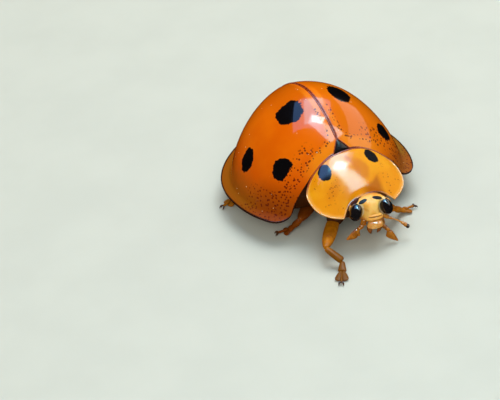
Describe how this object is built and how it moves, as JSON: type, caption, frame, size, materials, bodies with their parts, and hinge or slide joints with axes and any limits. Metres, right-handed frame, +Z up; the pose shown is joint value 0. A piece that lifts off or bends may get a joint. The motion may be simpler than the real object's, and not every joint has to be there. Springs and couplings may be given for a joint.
{
  "type": "giant ladybird beetle model",
  "caption": "Life-size ladybird standing on its legs, with a high domed pair of spotted wing cases, a shield behind the head, eyes, feelers and jointed legs.",
  "frame": {"origin": "on the floor, under the middle of the whole insect's bounding box", "axes": "+Z up, the head looks along -Y, the insect's own left side is at +X"},
  "size_m": [0.0112, 0.0144, 0.0066],
  "materials": {
    "wing_case": "glossy orange cuticle with black spots and fine dark pits",
    "pronotum": "glossy amber cuticle with two black spots",
    "black_cuticle": "glossy black cuticle",
    "face": "satin tan cuticle",
    "lip": "glossy tan cuticle",
    "eye": "glossy black, finely faceted",
    "feeler": "glossy brown cuticle",
    "leg": "glossy orange-brown cuticle",
    "claw": "dark brown horn",
    "underside": "satin brown cuticle"
  },
  "bodies": {
    "root": {"elytron_left": "wing_case", "elytron_right": "wing_case", "scutellum": "black_cuticle", "abdomen": "underside", "thorax": "underside", "prothorax": "underside", "pronotum": "pronotum", "head": "face", "clypeus": "face", "labrum": "lip", "eye_left": "eye", "eye_right": "eye", "labium": "feeler", "palp_stalk_left": "feeler", "palp_blade_left": "feeler", "palp_stalk_right": "feeler", "palp_blade_right": "feeler", "antenna_scape_left": "feeler", "antenna_left": "feeler", "antenna_club_left": "feeler", "antenna_scape_right": "feeler", "antenna_right": "feeler", "antenna_club_right": "feeler", "femur_front_left": "leg", "tibia_front_left": "leg", "foot_front_left": "leg", "claws_front_left": "claw", "femur_front_right": "leg", "tibia_front_right": "leg", "foot_front_right": "leg", "claws_front_right": "claw", "femur_middle_left": "leg", "tibia_middle_left": "leg", "foot_middle_left": "leg", "claws_middle_left": "claw", "femur_middle_right": "leg", "tibia_middle_right": "leg", "foot_middle_right": "leg", "claws_middle_right": "claw", "femur_hind_left": "leg", "tibia_hind_left": "leg", "foot_hind_left": "leg", "claws_hind_left": "claw", "femur_hind_right": "leg", "tibia_hind_right": "leg", "foot_hind_right": "leg", "claws_hind_right": "claw"}
  },
  "joints": []
}
